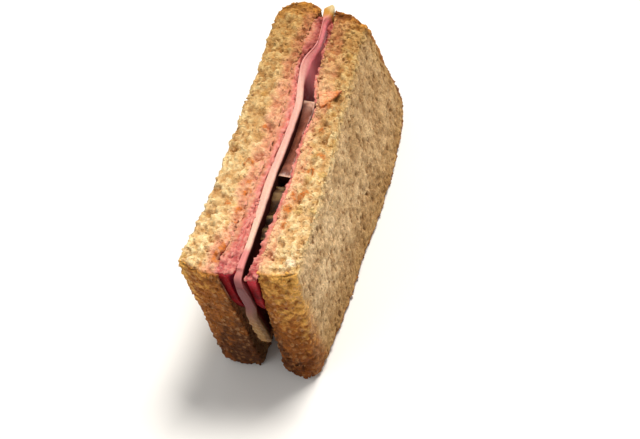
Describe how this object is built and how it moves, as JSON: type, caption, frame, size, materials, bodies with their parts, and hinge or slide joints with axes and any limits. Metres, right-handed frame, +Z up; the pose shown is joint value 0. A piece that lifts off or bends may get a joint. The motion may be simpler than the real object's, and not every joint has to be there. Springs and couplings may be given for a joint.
{
  "type": "salami and cheese sandwich half",
  "caption": "Half of a salami and cheese sandwich in thick wholemeal bread, cut straight across and standing on its long crust edge with the layered cut face up.",
  "frame": {"origin": "middle of the footprint, on the surface it stands on", "axes": "+X through the layers, from the left bread slice to the right one; +Y along the cut, from the near end crust to the far one; +Z up, out of the cut face"},
  "size_m": [0.0426, 0.1198, 0.0584],
  "materials": {
    "bread": "open, matte wholemeal crumb with bran flecks and a golden-brown crust; stained salmon beside the filling at the cut",
    "salami": "moist, nubby pink cut edge, glossy dark red faces",
    "cheese": "smooth, slightly waxy and translucent",
    "pickle": "wet and translucent"
  },
  "bodies": {
    "root": {"bread_left": "bread", "bread_right": "bread", "salami_left": "salami", "salami_fold": "salami", "salami_right": "salami", "cheese": "cheese", "pickle_far": "pickle", "pickle_near": "pickle"}
  },
  "joints": []
}
